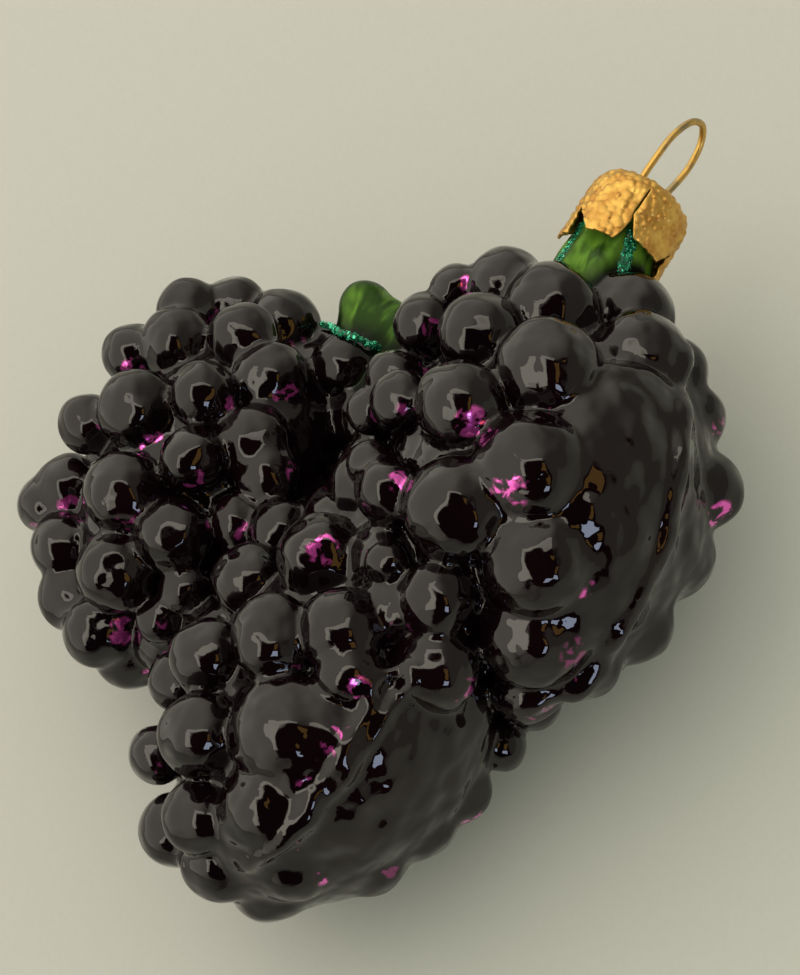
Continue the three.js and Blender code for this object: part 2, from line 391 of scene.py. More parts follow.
@dataclass(frozen=True)
class Berry:
    """One berry: balls that touch an egg from inside, charted where they're known and spiralled behind.

    Cheeks are flat eggs sunk below the drupelets, where the mould left the glass smooth.
    """

    centre: Triple
    semi: Triple
    back_count: int
    back_radius: float
    lean: float = 0.0
    drupelets: tuple[Row, ...] = ()
    cheeks: tuple[Cheek, ...] = ()
    seams: tuple[Marks, ...] = ()
    proud: float = 0.96  # share of its charted radius that a drupelet's ball has
    crevice: float = 5.0  # how far the egg behind the drupelets lies below their tops
    crowding: float = 0.72  # how close, in radii, a spiralled drupelet may come to a charted one
    uneven: float = 0.08  # share by which the spiralled drupelets differ in radius
    cheek_guard: float = 4.0  # radius of the balls that keep the spiral off a cheek
    seam_radius: float = 0.35
    seam_height: float = 0.2  # how far the seam stands proud of the glass

    def _on_egg(self, turn: float, rise: float) -> tuple[np.ndarray, np.ndarray]:
        """Finds a place on the berry's egg.

        Args:
            turn: Degrees about the neck, from the front.
            rise: Degrees above the equator.

        Returns:
            The place, and the way out of the egg there.
        """
        semi = np.array(self.semi)
        unit = direction_of(turn, rise)
        normal = unit / semi
        away = turn_matrix(-self.lean)
        return unit * semi @ away + np.array(self.centre), normal / np.linalg.norm(normal) @ away

    def _ball(self, row: Row) -> Ball:
        """Makes the ball of a drupelet.

        Args:
            row: The drupelet's turn, rise, radius and, where it stands proud, lift.

        Returns:
            The ball.
        """
        turn, rise, radius, *lift = row
        place, normal = self._on_egg(turn, rise)
        return Ball(place + normal * (sum(lift) - radius * self.proud), radius * self.proud)

    def _cheek(self, row: Cheek) -> Core:
        """Makes the flat egg of a cheek.

        Args:
            row: The cheek's turn, rise, half width, half height, depth and sink.

        Returns:
            The flat egg.
        """
        turn, rise, wide, high, deep, sink = row
        place, normal = self._on_egg(turn, rise)
        return Core(place - normal * (sink + deep), np.array([wide, high, deep]), face_matrix(normal))

    def drupelet_balls(self) -> list[Ball]:
        """Makes the charted drupelets and, on the rest of the berry, those of a spiral that keeps clear.

        Returns:
            The drupelets' balls, the charted ones first.
        """
        charted = [self._ball(row) for row in self.drupelets]
        taken = [(ball.centre, ball.radius) for ball in charted]
        taken += [(self._ball((turn, rise + step * high, self.cheek_guard)).centre, 0.8 * wide)
                  for turn, rise, wide, high, *_ in self.cheeks for step in (-1.5, 0.0, 1.5)]
        balls = list(charted)
        for i in range(self.back_count):
            rise = math.degrees(math.asin(1.0 - (2 * i + 1) / self.back_count))
            radius = self.back_radius * (1 + self.uneven * math.sin(4 * i))
            ball = self._ball((i * GOLDEN_ANGLE, rise, radius))
            if all(np.linalg.norm(ball.centre - middle) > self.crowding * (radius + size)
                   for middle, size in taken):
                balls.append(ball)
        return balls

    def seam_marks(self, steps: int = 6) -> list[np.ndarray]:
        """Spaces marks evenly along each line where the halves of the mould met.

        Args:
            steps: Marks made between two charted ones.

        Returns:
            For each line, its marks on the egg.
        """
        lines = []
        for seam in self.seams:
            marks = np.array(seam)
            spread = np.linspace(0, len(marks) - 1, steps * (len(marks) - 1) + 1)
            turns, rises = (np.interp(spread, range(len(marks)), column) for column in marks.T)
            lines.append(np.array([self._on_egg(t, r)[0] for t, r in zip(turns, rises)]))
        return lines

    def bodies(self) -> list[Ball | Core]:
        """Makes every body of the berry.

        Returns:
            The drupelets, the cheeks and the egg behind them.
        """
        core = Core(np.array(self.centre), np.array(self.semi) - self.crevice, turn_matrix(self.lean))
        cheeks = [self._cheek(row) for row in self.cheeks]
        return [*self.drupelet_balls(), *cheeks, core]


RIGHT_BERRY = Berry(
    centre=(13.6, 9.2, 3.1), semi=(19.4, 23.8, 20.0), back_count=104, back_radius=4.2,
    drupelets=(
        (-56, 44, 2.6, 2.4), (-46, 56, 4.1, 2), (-9, 58, 5.1), (70, 72, 4.6, 1.3), (-60, 32, 3.3, 2),
        (-25, 32, 4.3), (14, 25, 5.4), (60, 47, 5), (-55, 14, 3, 0.4), (-38, 5, 3.1), (-61, 5, 2.7, 0.4),
        (-12, 6, 4.5), (-42, -13, 2.6), (22, -6, 5.8), (-32, -20, 3.5), (-2, -23, 5.4), (39, -30, 5.6),
        (-26, -39, 2.1), (-3, -49, 3.8), (2, -68.5, 4.4, 3.2), (60, -52, 5.3), (93, 50, 3.5), (101, 36, 3.3),
        (104, 15, 4.1, 1.2), (110, -3, 4.5), (108, -26, 4.3), (100, -46, 4.1), (105, -66, 3.9),
    ),
    cheeks=((60, 2, 9.5, 12.5, 6, 1.3), (70, -32, 8, 11, 6, 1.3), (101, 18, 8, 14, 6, 1.7),
            (101, -20, 8, 14, 6, 1.7)),
    seams=(((72, 44), (70, 32), (67, 22), (67, 12), (70, 2), (74, -8), (77, -18), (80, -30), (85, -42),
            (90, -54), (80, -68)),),
    seam_radius=0.9, seam_height=0.45,
)
LEFT_BERRY = Berry(
    centre=(-23.4, 3.4, -1.0), semi=(15.6, 22.8, 16.0), lean=-8.0, back_count=96, back_radius=3.8,
    drupelets=(
        (-57, 46, 3.5, 2), (-63, 63, 3.7, 1), (22, 77, 4.2), (-60, 24, 3.4, 1.5), (-43, 35, 4),
        (7, 46, 3.9), (40, 35, 4.2), (-50, -1, 3.3, 0.7), (-23, 7, 4.4), (11, 18, 3.6), (45, 12, 4.2),
        (-71, -18, 3.7, 0.6), (-75, -24, 3.1, 2.2), (-4, -18, 4.4), (23, -1, 3.4), (-64, -38, 3.7),
        (8, -43, 4.4), (32, -23, 4), (55, -10, 3), (84, 4, 3.8), (52, -35, 2.7), (51, -48, 2.4),
        (-66, -57, 3.7), (-15, -76, 4), (150, -78, 4),
    ),
    cheeks=((75, 22, 7.4, 8.5, 4, 1.2),),
)
BOTTOM_BERRY = Berry(
    centre=(1.0, -14.8, 0.9), semi=(17.8, 24.3, 17.9), lean=-17.0, back_count=106, back_radius=4.0,
    drupelets=(
        (-59, 10, 3.9), (-23, 26, 4.5), (13, 11, 4.4), (26, 3, 3.4, -0.4), (-11, 1, 3.9), (-7, -2, 3.8),
        (-38, -13, 4), (-60, -22, 3.1), (-22, -33, 4.3), (19, -19, 6.1), (31, -15, 5, -0.7), (32, -41, 4.5),
        (-64, -43, 3.1, 0.5), (-7, -58, 3.8), (-66, -68, 3.9, 0.8), (31, -78, 4.4), (118, -66, 4.3),
        (74, -52, 3.6, -0.6), (112, -32, 4), (110, -15, 4.1), (113, -2, 3.7, 0.4), (112, 13, 2.7, 1),
        (108, 26, 3.3, 2.8),
    ),
    cheeks=((76, -8, 11, 12.5, 6, 1.6), (74, -34, 11, 12, 6, 1.6)),
    seams=(((40, 12), (43, 3), (44.5, -10), (45.5, -22), (46.5, -36), (45, -46), (43, -56)),
           ((36, 10), (38, 0), (40.5, -12), (42, -24), (43.5, -38))),
    seam_radius=0.45, seam_height=0.38,
)
MIDDLE_WEB = Berry(
    centre=(-8.0, 6.0, -1.0), semi=(13.5, 17.5, 12.0), back_count=46, back_radius=3.6, crevice=10.6,
    drupelets=((-25, 53, 3.3, 0.3),),
    cheeks=((8, 12, 4, 7, 1, 11),),
)
STUMP = [Bar(np.array(start), np.array(end), *rest) for start, end, *rest in (
    ((-12.3, 25.9, 0.3), (-7.0, 17.0, 0.0), 2.75, 4.6),
    ((-11.8, 25.9, 0.1), (-5.0, 23.6, 0.1), 2.1, 2.4),
    ((-11.3, 25.2, 0.1), (2.0, 19.5, 0.3), 2.6, 3.4),
    ((-17.5, 18.0, 0.5), (-9.0, 19.3, 1.0), 2.4, 2.4, Paint.PLUM),
    ((-16.1, 21.3, 0.3), (-13.3, 21.1, 0.6), 1.3, 1.5, Paint.PLUM),
    ((-10.8, 13.8, -0.6), (-7.6, 14.3, 0.2), 3.4, 4.0, Paint.PLUM),
)]


@dataclass
class GlassField:
    """How far a place is outside the glass, with every join rounded over."""

    bodies: list[Body] = field(default_factory=list)
    blend: float = 0.3  # rounding of the creases between drupelets
    reach: float = 3.0  # how far outside its own box a body still counts
    ripple: float = 0.09  # height of the blown wall's waves
    bore: float = 3.2
    bore_foot: float = 30.0
    stride: float = 0.3  # the most that a point is moved at a time when it's settled

    def _joined(self, points: np.ndarray, bodies: Iterable[Body]) -> np.ndarray:
        """Joins the distances to some of the bodies into one.

        Args:
            points: Places in the mould, one row each. They're taken in order of x, so that each body
                only looks at those beside it.
            bodies: The bodies to join.

        Returns:
            One distance a point.
        """
        order = np.argsort(points[:, 0], kind="stable")
        ordered = points[order]
        total = np.full(len(points), 1e-12)
        for body in bodies:
            low, high = (corner + way * self.reach for corner, way in zip(body.box(), (-1, 1)))
            first, last = np.searchsorted(ordered[:, 0], (low[0], high[0]))
            part = ordered[first:last, 1:]
            near = np.flatnonzero(((part > low[1:]) & (part < high[1:])).all(axis=1))
            if len(near):
                outside = body.distance(ordered[first + near])
                total[first + near] += np.exp(-np.clip(outside / self.blend, -60.0, 60.0))
        joined = np.empty(len(points))
        joined[order] = -self.blend * np.log(total)
        return joined

    def value(self, points: np.ndarray) -> np.ndarray:
        """Gives how far each point is outside the glass.

        Args:
            points: Places in the mould, in millimetres, one row each.

        Returns:
            One distance a point, below 0 in the glass.
        """
        x, y, z = points.T
        # two crossed trains of waves about 8 mm long
        waves = (np.sin(0.9 * x + 0.6 * y + 0.4) * np.sin(0.8 * z - 0.5 * y + 1.1)
                 + np.sin(0.7 * y - 0.8 * z) * np.sin(0.75 * x + 0.35 * z + 2.0))
        whole = self._joined(points, self.bodies) + self.ripple * waves
        hole = np.maximum(np.hypot(x - MOULD.neck_x, z - MOULD.neck_z) - self.bore, self.bore_foot - y)
        return np.maximum(whole, -hole)

    def leaf_lead(self, points: np.ndarray) -> np.ndarray:
        """Tells the green parts from the berries.

        Args:
            points: Places in the mould, one row each.

        Returns:
            How much nearer the green is than the plum, in millimetres.
        """
        green, plum = (self._joined(points, [body for body in self.bodies if body.paint is paint])
                       for paint in (Paint.LEAF, Paint.PLUM))
        return plum - green

    def slope(self, points: np.ndarray, step: float = 0.02) -> np.ndarray:
        """Gives how fast the distance grows along each axis at each point."""
        here = self.value(points)
        return np.stack([(self.value(points + step * axis) - here) / step for axis in np.eye(3)], axis=1)

    def settle(self, points: np.ndarray, rounds: int = 4) -> np.ndarray:
        """Moves points that are near the surface onto it.

        Args:
            points: Places in the mould near the surface.
            rounds: How often the surface is closed in on.

        Returns:
            The moved places.
        """
        for _ in range(rounds):
            slope = self.slope(points)
            size = np.maximum((slope**2).sum(axis=1), 0.2)
            points = points - np.clip(self.value(points) / size, -self.stride, self.stride)[:, None] * slope
        return points


def without_pinches(values: np.ndarray, fill: float = -0.05) -> np.ndarray:
    """Fills the grid places where a surface would touch itself or shut in a speck.

    Args:
        values: Field values on an even grid.
        fill: Value put where the glass is made solid.

    Returns:
        The mended values.
    """
    values = values.copy()
    while True:
        inside = values < 0
        pinched = np.zeros_like(inside)
        for axis in range(3):
            solid, mark = np.moveaxis(inside, axis, 0), np.moveaxis(pinched, axis, 0)
            a, b, c, d = solid[:, :-1, :-1], solid[:, 1:, 1:], solid[:, :-1, 1:], solid[:, 1:, :-1]
            crossed = (a == b) & (c == d) & (a != c)
            for part in (mark[:, :-1, :-1], mark[:, 1:, 1:], mark[:, :-1, 1:], mark[:, 1:, :-1]):
                part |= crossed
        lonely = np.zeros_like(inside)
        lonely[1:-1, 1:-1, 1:-1] = (
            inside[:-2, 1:-1, 1:-1] & inside[2:, 1:-1, 1:-1] & inside[1:-1, :-2, 1:-1]
            & inside[1:-1, 2:, 1:-1] & inside[1:-1, 1:-1, :-2] & inside[1:-1, 1:-1, 2:])
        mended = (pinched | lonely) & ~inside
        if not mended.any():
            return values
        values[mended] = fill


def surface_net(values: np.ndarray, clear: float = 0.02) -> tuple[np.ndarray, np.ndarray]:
    """Wraps quads round the part of a grid that is below 0.

    Args:
        values: Field values on an even grid, above 0 on all its outer faces.
        clear: How far the skin keeps from grid places, in steps, so that no two corners meet.

    Returns:
        Places in grid steps, and four place numbers for each quad, counter-clockwise from outside.
    """
    inside = values < 0
    cells = tuple(n - 1 for n in values.shape)
    count, total = np.zeros(cells, np.int8), np.zeros((*cells, 3), np.float32)
    quads = []
    crossings = []
    for axis in range(3):
        order = [axis, (axis + 1) % 3, (axis + 2) % 3]
        field_turned, inside_turned = values.transpose(order), inside.transpose(order)
        first, second = field_turned[:-1], field_turned[1:]
        crosses = inside_turned[:-1] != inside_turned[1:]
        share = np.clip(first / np.where(crosses, first - second, 1.0), clear, 1.0 - clear) * crosses
        count_turned = count.transpose(order)
        total_turned = total.transpose([*order, 3])
        for dj in (0, 1):
            for dk in (0, 1):
                part = (slice(None), slice(dj, dj + cells[order[1]]), slice(dk, dk + cells[order[2]]))
                hit = crosses[part]
                count_turned += hit
                total_turned[..., order[0]] += share[part]
                total_turned[..., order[1]] += dj * hit
                total_turned[..., order[2]] += dk * hit
        crossings.append((order, crosses, inside_turned))
    used = count > 0
    number = np.full(cells, -1, np.int64)
    number[used] = np.arange(used.sum())
    corners = np.argwhere(used) + total[used] / count[used][:, None]
    for order, crosses, inside_turned in crossings:
        number_turned = number.transpose(order)
        i, j, k = np.nonzero(crosses[:, 1:-1, 1:-1])
        ring = [number_turned[i, j + dj, k + dk] for dj, dk in ((0, 0), (1, 0), (1, 1), (0, 1))]
        ring = np.stack(ring, axis=1)
        outward = inside_turned[:-1][:, 1:-1, 1:-1][i, j, k]
        quads.append(np.where(outward[:, None], ring, ring[:, ::-1]))
    return corners, np.concatenate(quads)


@dataclass
class GlassShell:
    """The blown glass: berries, stem and stump in one closed skin with the neck's bore."""

    spacing: float = 0.5
    margin: float = 1.6
    lead_range: Pair = (-1.0, 4.0)  # how far the green's lead is told to the finish
    stump_side: float = 6.5  # the green is the stump's at lower x, else the stem's
    glint_side: Triple = (0.80, -0.52, 0.29)  # the flank, away from the key lamp, that carries each drupelet's painted glint
    glint_scatter: float = 0.42
    glint_reach: Pair = (13.0, 27.0)  # degrees from a painted glint's middle to its edge
    glint_strengths: tuple[float, ...] = (0.0, 0.4, 0.6, 0.75, 1.0)
    glint_near: float = 0.6  # how far from a drupelet's ball the glass still counts as its own
    seed: int = 11
    field_of_glass: GlassField = field(default_factory=GlassField)

    def __post_init__(self) -> None:
        """Collects every body of the glass."""
        berries = (RIGHT_BERRY, LEFT_BERRY, BOTTOM_BERRY, MIDDLE_WEB)
        glass = self.field_of_glass
        glass.bodies = [body for berry in berries for body in berry.bodies()] + [Stem(), *STUMP]
        seams = [self._seam(marks, berry) for berry in berries for marks in berry.seam_marks()]
        glass.bodies += [bar for bars in seams for bar in bars]
        self.drupelets = [ball for berry in berries for ball in berry.drupelet_balls()]

    def _seam(self, marks: np.ndarray, berry: Berry) -> list[Bar]:
        """Lays one of the mould's raised seams onto the glass.

        Args:
            marks: Places near the glass along the seam.
            berry: The berry that the seam runs over.

        Returns:
            Bars that stand a little proud of the glass, from mark to mark.
        """
        on_glass = self.field_of_glass.settle(marks, rounds=12)
        out = self.field_of_glass.slope(on_glass)
        radius = berry.seam_radius
        sunk = on_glass - out * (radius - berry.seam_height)
        return [Bar(a, b, radius, radius, Paint.PLUM) for a, b in zip(sunk, sunk[1:])]

    def _painted_glints(self, points: np.ndarray) -> np.ndarray:
        """Places the painted magenta glints: each drupelet has one patch, on about the same flank, away from
        the key lamp.

        Args:
            points: Places on the glass, one row each.

        Returns:
            0 where no glint is painted up to 1 at the middle of the brightest painted glints.
        """
        draw = np.random.default_rng(self.seed)
        inner, outer = (math.cos(math.radians(angle)) for angle in self.glint_reach)
        nearest = np.full(len(points), self.glint_near)
        paler_patch = np.zeros(len(points))
        for ball in self.drupelets:
            middle = np.array(self.glint_side) + draw.normal(0.0, self.glint_scatter, 3)
            middle /= np.linalg.norm(middle)
            strength = draw.choice(self.glint_strengths)
            out = points - ball.centre
            far = np.linalg.norm(out, axis=1)
            mine = far - ball.radius < nearest
            facing = (out[mine] @ middle) / far[mine]
            nearest[mine] = far[mine] - ball.radius
            paler_patch[mine] = strength * smooth(facing, outer, inner)
        return paler_patch

    def build(self, finish: Material) -> Object:
        """Makes the skin.

        Args:
            finish: The lacquered glass.

        Returns:
            The piece that stands for the glass.
        """
        boxes = [body.box() for body in self.field_of_glass.bodies]
        low = np.min([b[0] for b in boxes], axis=0) - self.margin
        high = np.max([b[1] for b in boxes], axis=0) + self.margin
        sides = [np.arange(a, b + self.spacing, self.spacing) for a, b in zip(low, high)]
        grid = np.stack(np.meshgrid(*sides, indexing="ij"), axis=-1)
        values = self.field_of_glass.value(grid.reshape(-1, 3)).reshape(grid.shape[:3])
        corners, quads = surface_net(without_pinches(values))
        points = self.field_of_glass.settle(low + corners * self.spacing)
        piece = mesh_object("lacquered_glass_berries", MOULD.to_frame(points), quads, finish)
        put_attribute(piece, "leaf_lead", np.clip(self.field_of_glass.leaf_lead(points), *self.lead_range))
        # painted glints: a magenta patch on each drupelet's flank away from the key lamp
        put_attribute(piece, "paler_patch", self._painted_glints(points))
        put_attribute(piece, "stump", points[:, 0] < self.stump_side)
        return mount(piece, "lacquered_glass", "glass_body")


# ---- the cap and its wire ----
@dataclass(frozen=True)
class Seat:
    """How the cap sits on the neck: turned a little about it and tilted over to one side."""

    turn: float = -4.0
    tilt: float = 14.0
    tilt_towards: float = 116.0
    pivot: float = 36.3

    def place(self, points: np.ndarray) -> np.ndarray:
        """Sets an upright cap down on the neck.

        Args:
            points: Places about the upright cap's axis.

        Returns:
            The places in the mould.
        """
        towards = Vector(direction_of(self.tilt_towards, 0.0))
        tilt = Matrix.Rotation(math.radians(self.tilt), 3, Vector((0.0, 1.0, 0.0)).cross(towards))
        turn = np.array(tilt @ Matrix.Rotation(math.radians(self.turn), 3, "Y"))
        pivot = np.array([0.0, self.pivot, 0.0])
        return (points - pivot) @ turn.T + pivot + [MOULD.neck_x, 0.0, MOULD.neck_z]


SEAT = Seat()


@dataclass(frozen=True)
class Petal:
    """How one petal of the cap is cut and bent."""

    tip: float  # height of its tip
    flare: float = 0.0  # how far the tip is bent out
    slant: float = 0.0  # how much higher its one side ends
    sway: float = 0.0  # how far the tip is bent round the neck, in degrees
    cuts: Pair = (1.0, 1.0)  # how much of the slit each side gives up


@dataclass(frozen=True)
class FoilCap:
    """The stamped cap: a low crown that five slits part into petals, pebbled all over by the stamp."""

    profile: Marks = (  # radius and height, from the crown to the petals' tips
        (0.0, 43.5), (2.0, 43.5), (3.5, 43.4), (4.7, 42.8), (5.2, 41.8), (5.35, 40.6), (5.55, 35.5),
    )
    rounding: int = 12  # places each way that the profile is averaged over
    slit_top: float = 41.9
    slit: Marks = (  # height and half the width of the slit there
        (35.5, 1.6), (36.4, 1.05), (38.0, 0.13), (41.9, 0.07),
    )
    petals: tuple[Petal, ...] = (
        Petal(35.1, flare=-0.1, slant=0.2, sway=11.0, cuts=(1.6, 0.9)),
        Petal(36.5, sway=-2.0),
        Petal(35.2, sway=-16.0, cuts=(1.2, 2.0)),
        Petal(35.4, flare=0.1, sway=-4.0),
        Petal(34.2, flare=-0.4, sway=15.0, cuts=(2.1, 0.3)),
    )
    bend_top: float = 40.8
    sway_top: float = 39.4
    petal_turn: float = -6.0
    thickness: float = 0.28
    columns: int = 52
    rows: int = 96
    pebble_tries: int = 4000
    pebble_pitch: float = 0.72
    pebble_gaps: Pair = (0.7, 1.3)  # least and most of the pitch
    pebble_radii: Pair = (0.45, 0.85)  # least and most of the pitch
    pebble_height: float = 0.24
    pebble_rises: Pair = (0.35, 1.0)  # least and most of the height
    wire_holes: Marks = ((-0.4, -2.35), (-0.4, 2.35))
    hole_radius: float = 0.55
    weld: float = 0.01
    seed: int = 4

    def _section(self) -> tuple[np.ndarray, np.ndarray]:
        """Rounds the profile and spaces it evenly.

        Returns:
            Its radii and its heights.
        """
        marks, reach = np.array(self.profile), self.rounding
        along = np.concatenate([[0.0], np.cumsum(np.linalg.norm(np.diff(marks, axis=0), axis=1))])
        fine = np.linspace(0.0, along[-1], 4 * self.rows)
        average = np.ones(2 * reach + 1) / (2 * reach + 1)
        curves = []
        for column in marks.T:
            values = np.interp(fine, along, column)
            before, after = 2 * values[0] - values[reach:0:-1], 2 * values[-1] - values[-2:-reach - 2:-1]
            curves.append(np.convolve(np.concatenate([before, values, after]), average, "valid"))
        pick = np.linspace(0, len(fine) - 1, self.rows).astype(int)
        return curves[0][pick] - curves[0][0], curves[1][pick]

    def _petal_grids(self) -> tuple[np.ndarray, list[tuple[int, ...]]]:
        """Shapes the smooth foil as petal grids that meet above the slits.

        Returns:
            Its corners, and the corner numbers of each face.
        """
        radii, heights = self._section()
        slit_heights, slit_halves = np.array(self.slit).T
        half_gap = np.where(heights > self.slit_top, 0.0, np.interp(heights, slit_heights, slit_halves))
        pitch = math.tau / len(self.petals)
        gap = half_gap / np.maximum(radii, 1.0)
        bend, swing = (smooth(top - heights, 0.0, top - heights[-1])
                       for top in (self.bend_top, self.sway_top))
        fall = np.clip((self.bend_top - heights) / (self.bend_top - heights[-1]), 0.0, 1.0)
        across = np.linspace(-1.0, 1.0, self.columns)
        points, faces = [], []
        for number, petal in enumerate(self.petals):
            middle = number * pitch + np.radians(self.petal_turn + petal.sway * swing)
            left, right = (pitch / 2 - cut * gap[:, None] for cut in petal.cuts)
            angle = middle[:, None] + across * np.where(across < 0, left, right)
            wide = (radii + petal.flare * bend)[:, None]
            height = heights[:, None] + fall[:, None] * (petal.tip + petal.slant * across - heights[-1])
            grid = np.stack([wide * np.sin(angle), height, wide * np.cos(angle)], axis=-1)
            points.append(grid.reshape(-1, 3))
            for i in range(self.rows - 1):
                row = (number * self.rows + i) * self.columns
                faces += [(row + j, row + j + self.columns, row + j + self.columns + 1, row + j + 1)
                          for j in range(self.columns - 1)]
        return np.concatenate(points), faces

    def _pebbles(self, points: np.ndarray) -> np.ndarray:
        """Scatters the stamp's pebbles.

        Args:
            points: Places on the foil, in millimetres.

        Returns:
            How high the pebbles stand at each place.
        """
        draw = np.random.default_rng(self.seed)
        middles = []
        for spot in points[draw.permutation(len(points))[:self.pebble_tries]]:
            gap = self.pebble_pitch * draw.uniform(*self.pebble_gaps)
            if all(np.linalg.norm(spot - other) > gap for other in middles):
                middles.append(spot)
        height = np.zeros(len(points))
        for middle in middles:
            radius = self.pebble_pitch * draw.uniform(*self.pebble_radii)
            rise = self.pebble_height * draw.uniform(*self.pebble_rises)
            share = 1.0 - (np.linalg.norm(points - middle, axis=1) / radius)**2
            height = np.maximum(height, rise * np.clip(share, 0.0, 1.0)**0.8)
        return height

    def build(self, finish: Material) -> Object:
        """Stamps the foil and gives it its thickness.

        Args:
            finish: The gilt foil.

        Returns:
            The piece that stands for the cap.
        """
        points, faces = self._petal_grids()
        on_crown = points[:, 1] > self.slit_top
        for hole in self.wire_holes:
            away = points[:, [0, 2]] - hole
            far = np.maximum(np.linalg.norm(away, axis=1), 1e-6)
            inside = on_crown & (far < self.hole_radius)
            faces = [face for face in faces if not all(inside[i] for i in face)]
            rim = np.flatnonzero(inside)
            points[rim[:, None], [0, 2]] = hole + away[rim] / far[rim, None] * self.hole_radius
        piece = mesh_object("gilt_foil_cap", MOULD.to_frame(SEAT.place(points)), faces, finish)
        sheet = bmesh.new()
        sheet.from_mesh(piece.data)
        bmesh.ops.remove_doubles(sheet, verts=sheet.verts, dist=self.weld * MM)
        loose = [vert for vert in sheet.verts if not vert.link_faces]
        bmesh.ops.delete(sheet, geom=loose, context="VERTS")
        sheet.normal_update()
        places = np.array([vert.co for vert in sheet.verts]) / MM
        normals = np.array([vert.normal for vert in sheet.verts])
        for vert, place in zip(sheet.verts, (places + normals * self._pebbles(places)[:, None]) * MM):
            vert.co = place
        sheet.to_mesh(piece.data)
        sheet.free()
        wall = piece.modifiers.new("wall", "SOLIDIFY")
        wall.thickness = self.thickness * MM
        wall.offset = -1.0
        return mount(bake(piece), "gilt_sheet", "cap")


@dataclass(frozen=True)
class HangerWire:
    """The spring wire: a loop above the cap and two legs that go down through it and flare in the neck."""

    radius: float = 0.37
    aside: float = -0.4
    lean: float = 0.08
    crown: float = 43.35
    loop_height: float = 9.5
    leg: Marks = (  # height, side
        (23.0, 4.8), (27.0, 2.1), (30.0, 1.8), (38.0, 1.8), (43.35, 2.35),
    )
    loop: Marks = ((0.3, 2.8), (0.62, 2.9), (0.9, 1.8))  # share of its height, side

    def _path(self) -> np.ndarray:
        """Bends the wire's middle line.

        Returns:
            Places along it in the mould, from one foot to the other.
        """
        half = [*self.leg, *((self.crown + share * self.loop_height, side) for share, side in self.loop)]
        other = [(height, -side) for height, side in half]
        height, side = np.array([*other, (self.crown + self.loop_height, 0.0), *half[::-1]]).T
        upright = math.tan(math.radians(SEAT.tilt))
        x = (self.aside + self.lean * np.maximum(height - self.crown, 0.0)
             + upright * np.maximum(SEAT.pivot - height, 0.0))
        return spline(SEAT.place(np.stack([x, height, side], axis=1)))

    def build(self, finish: Material) -> Object:
        """Draws the wire along its path."""
        piece = draw_wire("gilt_hanger_wire", self._path(), self.radius, finish)
        return mount(piece, "gilt_wire", "hanger_wire")


def spline(marks: np.ndarray, steps: int = 12) -> np.ndarray:
    """Draws a smooth curve through points, tighter where they are closer (centripetal Catmull-Rom).

    Args:
        marks: The points to pass through.
        steps: Places made between two of them.

    Returns:
        The places along the curve.
    """
    ends = np.vstack([2 * marks[0] - marks[1], marks, 2 * marks[-1] - marks[-2]])
    share = np.linspace(0.0, 1.0, steps, endpoint=False)[:, None]
    pieces = []
    for a, b, c, d in zip(ends, ends[1:], ends[2:], ends[3:]):
        before, here, after = (math.sqrt(np.linalg.norm(q - p)) for p, q in ((a, b), (b, c), (c, d)))
        leave = ((b - a) / before - (c - a) / (before + here) + (c - b) / here) * here
        arrive = ((c - b) / here - (d - b) / (here + after) + (d - c) / after) * here
        pieces.append(b + leave * share + (3 * (c - b) - 2 * leave - arrive) * share**2
                      + (2 * (b - c) + leave + arrive) * share**3)
    return np.vstack([*pieces, marks[-1]])


# ---- geometry node trees ----
def new_tree(name: str, **inputs: str) -> tuple[NodeTree, Callable[..., Node], dict[str, NodeSocket]]:
    """Starts a Geometry Nodes tree.

    Args:
        name: Name of the tree.
        **inputs: Label of each input after the geometry, with the last part of its socket's type.

    Returns:
        The tree, what adds a node to it, and each input by its label.
    """
    tree = bpy.data.node_groups.new(name, "GeometryNodeTree")
    for label, kind in {"Geometry": "Geometry", **inputs}.items():
        tree.interface.new_socket(label, in_out="INPUT", socket_type="NodeSocket" + kind)
    tree.interface.new_socket("Geometry", in_out="OUTPUT", socket_type="NodeSocketGeometry")
    add = partial(add_node, tree)
    return tree, add, add("NodeGroupInput").outputs


def run_tree(piece: Object, tree: NodeTree, **values: object) -> None:
    """Runs a Geometry Nodes tree on a piece and keeps the plain mesh.

    Args:
        piece: The piece that the tree starts from.
        tree: The tree.
        **values: Value of each labelled input.
    """
    modifier = piece.modifiers.new(tree.name, "NODES")
    modifier.node_group = tree
    for item in tree.interface.items_tree:
        if item.in_out == "INPUT" and item.name in values:
            modifier[item.identifier] = values[item.name]
    bake(piece)


def wire_tree() -> NodeTree:
    """Makes the tree that draws a round, capped wire along a line of edges.

    Returns:
        The tree.
    """
    tree, add, given = new_tree("drawn_wire", Radius="Float", Finish="Material")
    path = add("GeometryNodeMeshToCurve", {"Mesh": given["Geometry"]})
    ring = add("GeometryNodeCurvePrimitiveCircle", {"Resolution": 16, "Radius": given["Radius"]})
    wire = add("GeometryNodeCurveToMesh", {"Curve": path, "Profile Curve": ring, "Fill Caps": True})
    whole = add("GeometryNodeRealizeInstances", {"Geometry": wire})
    dressed = add("GeometryNodeSetMaterial", {"Geometry": whole, "Material": given["Finish"]})
    add("NodeGroupOutput", {"Geometry": dressed})
    return tree


def draw_wire(name: str, path: np.ndarray, radius: float, finish: Material) -> Object:
    """Draws a round wire along a path.

    Args:
        name: Name of the piece.
        path: Places in the mould along the wire's middle.
        radius: Radius of the wire in millimetres.
        finish: Finish of the wire.

    Returns:
        The wire as a plain closed mesh.
    """
    piece = mesh_object(name, MOULD.to_frame(path), [])
    piece.data.edges.add(len(path) - 1)
    piece.data.edges.foreach_set("vertices", [n for i in range(len(path) - 1) for n in (i, i + 1)])
    tree = bpy.data.node_groups.get("drawn_wire") or wire_tree()
    run_tree(piece, tree, Radius=radius * MM, Finish=finish)
    piece.data.shade_smooth()
    return piece


